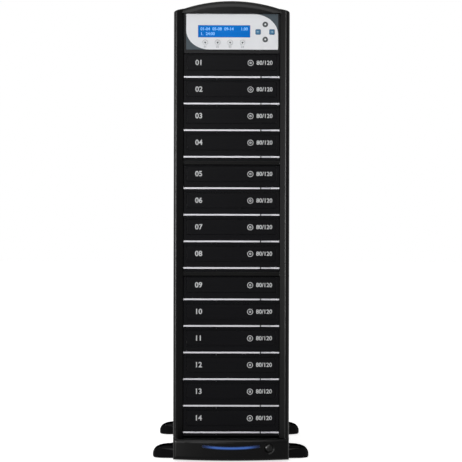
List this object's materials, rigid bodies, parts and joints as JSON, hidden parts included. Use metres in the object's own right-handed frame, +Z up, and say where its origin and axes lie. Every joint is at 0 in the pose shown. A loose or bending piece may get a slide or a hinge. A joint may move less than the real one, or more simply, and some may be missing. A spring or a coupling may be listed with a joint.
{
  "type": "disc duplicator tower",
  "caption": "Tall floor-standing disc duplicator: arched black bezel, stacked optical drives with sliding trays, a display panel with keys, and swing-out feet.",
  "frame": {"origin": "on the floor, at the middle of the outer box", "axes": "+Z up, front towards -Y, +X to the right seen from the front"},
  "size_m": [0.247, 0.4412, 0.7169],
  "materials": {
    "painted_steel": "satin black powder coat",
    "plain_steel": "zinc plated",
    "black_plastic": "semi-gloss black",
    "foot_plastic": "gloss black",
    "drive_plastic": "fine matt black",
    "panel_plastic": "matt slate grey",
    "silver_plastic": "silver paint",
    "grey_keys": "matt grey",
    "blue_keys": "matt blue",
    "pale_keys": "matt pale grey",
    "display_glass": "lit blue display",
    "blue_lens": "tinted lens",
    "circuit_board": "solder mask",
    "cable_jacket": "soft jacket"
  },
  "bodies": {
    "tower": {"chassis": "painted_steel", "side_panel_left": "painted_steel", "side_panel_right": "painted_steel", "front_bezel": "black_plastic", "light_bar_lens": "blue_lens", "control_panel_housing": "black_plastic", "lcd_module": "display_glass", "drive_housings": "plain_steel", "drive_bezels": "drive_plastic", "power_supply_case": "plain_steel", "mains_inlet": "drive_plastic", "fan_frames": "drive_plastic", "controller_board": "circuit_board", "internal_cables": "cable_jacket", "fasteners": "plain_steel"},
    "tray_01": {"tray_01": "drive_plastic"},
    "tray_02": {"tray_02": "drive_plastic"},
    "tray_03": {"tray_03": "drive_plastic"},
    "tray_04": {"tray_04": "drive_plastic"},
    "tray_05": {"tray_05": "drive_plastic"},
    "tray_06": {"tray_06": "drive_plastic"},
    "tray_07": {"tray_07": "drive_plastic"},
    "tray_08": {"tray_08": "drive_plastic"},
    "tray_09": {"tray_09": "drive_plastic"},
    "tray_10": {"tray_10": "drive_plastic"},
    "tray_11": {"tray_11": "drive_plastic"},
    "tray_12": {"tray_12": "drive_plastic"},
    "tray_13": {"tray_13": "drive_plastic"},
    "tray_14": {"tray_14": "drive_plastic"},
    "eject_button_01": {"eject_button_01": "silver_plastic"},
    "eject_button_02": {"eject_button_02": "silver_plastic"},
    "eject_button_03": {"eject_button_03": "silver_plastic"},
    "eject_button_04": {"eject_button_04": "silver_plastic"},
    "eject_button_05": {"eject_button_05": "silver_plastic"},
    "eject_button_06": {"eject_button_06": "silver_plastic"},
    "eject_button_07": {"eject_button_07": "silver_plastic"},
    "eject_button_08": {"eject_button_08": "silver_plastic"},
    "eject_button_09": {"eject_button_09": "silver_plastic"},
    "eject_button_10": {"eject_button_10": "silver_plastic"},
    "eject_button_11": {"eject_button_11": "silver_plastic"},
    "eject_button_12": {"eject_button_12": "silver_plastic"},
    "eject_button_13": {"eject_button_13": "silver_plastic"},
    "eject_button_14": {"eject_button_14": "silver_plastic"},
    "key_up": {"key_up": "grey_keys"},
    "key_down": {"key_down": "grey_keys"},
    "key_left": {"key_left": "blue_keys"},
    "key_right": {"key_right": "blue_keys"},
    "function_key_1": {"function_key_1": "pale_keys"},
    "function_key_2": {"function_key_2": "pale_keys"},
    "function_key_3": {"function_key_3": "pale_keys"},
    "function_key_4": {"function_key_4": "pale_keys"},
    "power_button": {"power_button": "black_plastic"},
    "foot_front_left": {"foot_front_left": "foot_plastic"},
    "foot_front_right": {"foot_front_right": "foot_plastic"},
    "foot_rear_left": {"foot_rear_left": "foot_plastic"},
    "foot_rear_right": {"foot_rear_right": "foot_plastic"},
    "rear_fan_rotor_upper": {"rear_fan_rotor_upper": "drive_plastic"},
    "rear_fan_rotor_lower": {"rear_fan_rotor_lower": "drive_plastic"},
    "psu_fan_rotor": {"psu_fan_rotor": "drive_plastic"},
    "mains_switch_rocker": {"mains_switch_rocker": "drive_plastic"}
  },
  "joints": [
    {"name": "foot_front_left_swing", "type": "hinge", "parent": "tower", "child": "foot_front_left", "pos_m": [-0.0655, -0.1492, 0], "axis": [0, 0, -1], "range_deg": [0, 90]},
    {"name": "foot_front_right_swing", "type": "hinge", "parent": "tower", "child": "foot_front_right", "pos_m": [0.0655, -0.1492, 0], "axis": [0, 0, 1], "range_deg": [0, 90]},
    {"name": "foot_rear_left_swing", "type": "hinge", "parent": "tower", "child": "foot_rear_left", "pos_m": [-0.0655, 0.1358, 0], "axis": [0, 0, 1], "range_deg": [0, 90]},
    {"name": "foot_rear_right_swing", "type": "hinge", "parent": "tower", "child": "foot_rear_right", "pos_m": [0.0655, 0.1358, 0], "axis": [0, 0, -1], "range_deg": [0, 90]},
    {"name": "mains_switch_rocker_tip", "type": "hinge", "parent": "tower", "child": "mains_switch_rocker", "pos_m": [0.048, 0.2118, 0.051], "axis": [1, 0, 0], "range_deg": [0, 18]},
    {"name": "rear_fan_rotor_upper_spin", "type": "hinge", "parent": "tower", "child": "rear_fan_rotor_upper", "pos_m": [0, 0.2118, 0.6001], "axis": [0, 1, 0], "continuous": true},
    {"name": "rear_fan_rotor_lower_spin", "type": "hinge", "parent": "tower", "child": "rear_fan_rotor_lower", "pos_m": [0, 0.2118, 0.4801], "axis": [0, 1, 0], "continuous": true},
    {"name": "psu_fan_rotor_spin", "type": "hinge", "parent": "tower", "child": "psu_fan_rotor", "pos_m": [-0.018, 0.2108, 0.072], "axis": [0, 1, 0], "continuous": true},
    {"name": "power_button_press", "type": "slide", "parent": "tower", "child": "power_button", "axis": [0, 1, 0], "range_m": [0, 0.002], "stiffness_N_per_m": 600},
    {"name": "tray_01_slide", "type": "slide", "parent": "tower", "child": "tray_01", "axis": [0, -1, 0], "range_m": [0, 0.138]},
    {"name": "tray_02_slide", "type": "slide", "parent": "tower", "child": "tray_02", "axis": [0, -1, 0], "range_m": [0, 0.138]},
    {"name": "tray_03_slide", "type": "slide", "parent": "tower", "child": "tray_03", "axis": [0, -1, 0], "range_m": [0, 0.138]},
    {"name": "tray_04_slide", "type": "slide", "parent": "tower", "child": "tray_04", "axis": [0, -1, 0], "range_m": [0, 0.138]},
    {"name": "tray_05_slide", "type": "slide", "parent": "tower", "child": "tray_05", "axis": [0, -1, 0], "range_m": [0, 0.138]},
    {"name": "tray_06_slide", "type": "slide", "parent": "tower", "child": "tray_06", "axis": [0, -1, 0], "range_m": [0, 0.138]},
    {"name": "tray_07_slide", "type": "slide", "parent": "tower", "child": "tray_07", "axis": [0, -1, 0], "range_m": [0, 0.138]},
    {"name": "tray_08_slide", "type": "slide", "parent": "tower", "child": "tray_08", "axis": [0, -1, 0], "range_m": [0, 0.138]},
    {"name": "tray_09_slide", "type": "slide", "parent": "tower", "child": "tray_09", "axis": [0, -1, 0], "range_m": [0, 0.138]},
    {"name": "tray_10_slide", "type": "slide", "parent": "tower", "child": "tray_10", "axis": [0, -1, 0], "range_m": [0, 0.138]},
    {"name": "tray_11_slide", "type": "slide", "parent": "tower", "child": "tray_11", "axis": [0, -1, 0], "range_m": [0, 0.138]},
    {"name": "tray_12_slide", "type": "slide", "parent": "tower", "child": "tray_12", "axis": [0, -1, 0], "range_m": [0, 0.138]},
    {"name": "tray_13_slide", "type": "slide", "parent": "tower", "child": "tray_13", "axis": [0, -1, 0], "range_m": [0, 0.138]},
    {"name": "tray_14_slide", "type": "slide", "parent": "tower", "child": "tray_14", "axis": [0, -1, 0], "range_m": [0, 0.138]},
    {"name": "key_up_press", "type": "slide", "parent": "tower", "child": "key_up", "axis": [0, 1, 0], "range_m": [0, 0.0006], "stiffness_N_per_m": 1000},
    {"name": "key_down_press", "type": "slide", "parent": "tower", "child": "key_down", "axis": [0, 1, 0], "range_m": [0, 0.0006], "stiffness_N_per_m": 1000},
    {"name": "key_left_press", "type": "slide", "parent": "tower", "child": "key_left", "axis": [0, 1, 0], "range_m": [0, 0.0006], "stiffness_N_per_m": 1000},
    {"name": "key_right_press", "type": "slide", "parent": "tower", "child": "key_right", "axis": [0, 1, 0], "range_m": [0, 0.0006], "stiffness_N_per_m": 1000},
    {"name": "function_key_1_press", "type": "slide", "parent": "tower", "child": "function_key_1", "axis": [0, 1, 0], "range_m": [0, 0.0006], "stiffness_N_per_m": 1000},
    {"name": "function_key_2_press", "type": "slide", "parent": "tower", "child": "function_key_2", "axis": [0, 1, 0], "range_m": [0, 0.0006], "stiffness_N_per_m": 1000},
    {"name": "function_key_3_press", "type": "slide", "parent": "tower", "child": "function_key_3", "axis": [0, 1, 0], "range_m": [0, 0.0006], "stiffness_N_per_m": 1000},
    {"name": "function_key_4_press", "type": "slide", "parent": "tower", "child": "function_key_4", "axis": [0, 1, 0], "range_m": [0, 0.0006], "stiffness_N_per_m": 1000},
    {"name": "eject_button_01_press", "type": "slide", "parent": "tower", "child": "eject_button_01", "axis": [0, 1, 0], "range_m": [0, 0.001], "stiffness_N_per_m": 800},
    {"name": "eject_button_02_press", "type": "slide", "parent": "tower", "child": "eject_button_02", "axis": [0, 1, 0], "range_m": [0, 0.001], "stiffness_N_per_m": 800},
    {"name": "eject_button_03_press", "type": "slide", "parent": "tower", "child": "eject_button_03", "axis": [0, 1, 0], "range_m": [0, 0.001], "stiffness_N_per_m": 800},
    {"name": "eject_button_04_press", "type": "slide", "parent": "tower", "child": "eject_button_04", "axis": [0, 1, 0], "range_m": [0, 0.001], "stiffness_N_per_m": 800},
    {"name": "eject_button_05_press", "type": "slide", "parent": "tower", "child": "eject_button_05", "axis": [0, 1, 0], "range_m": [0, 0.001], "stiffness_N_per_m": 800},
    {"name": "eject_button_06_press", "type": "slide", "parent": "tower", "child": "eject_button_06", "axis": [0, 1, 0], "range_m": [0, 0.001], "stiffness_N_per_m": 800},
    {"name": "eject_button_07_press", "type": "slide", "parent": "tower", "child": "eject_button_07", "axis": [0, 1, 0], "range_m": [0, 0.001], "stiffness_N_per_m": 800},
    {"name": "eject_button_08_press", "type": "slide", "parent": "tower", "child": "eject_button_08", "axis": [0, 1, 0], "range_m": [0, 0.001], "stiffness_N_per_m": 800},
    {"name": "eject_button_09_press", "type": "slide", "parent": "tower", "child": "eject_button_09", "axis": [0, 1, 0], "range_m": [0, 0.001], "stiffness_N_per_m": 800},
    {"name": "eject_button_10_press", "type": "slide", "parent": "tower", "child": "eject_button_10", "axis": [0, 1, 0], "range_m": [0, 0.001], "stiffness_N_per_m": 800},
    {"name": "eject_button_11_press", "type": "slide", "parent": "tower", "child": "eject_button_11", "axis": [0, 1, 0], "range_m": [0, 0.001], "stiffness_N_per_m": 800},
    {"name": "eject_button_12_press", "type": "slide", "parent": "tower", "child": "eject_button_12", "axis": [0, 1, 0], "range_m": [0, 0.001], "stiffness_N_per_m": 800},
    {"name": "eject_button_13_press", "type": "slide", "parent": "tower", "child": "eject_button_13", "axis": [0, 1, 0], "range_m": [0, 0.001], "stiffness_N_per_m": 800},
    {"name": "eject_button_14_press", "type": "slide", "parent": "tower", "child": "eject_button_14", "axis": [0, 1, 0], "range_m": [0, 0.001], "stiffness_N_per_m": 800}
  ]
}
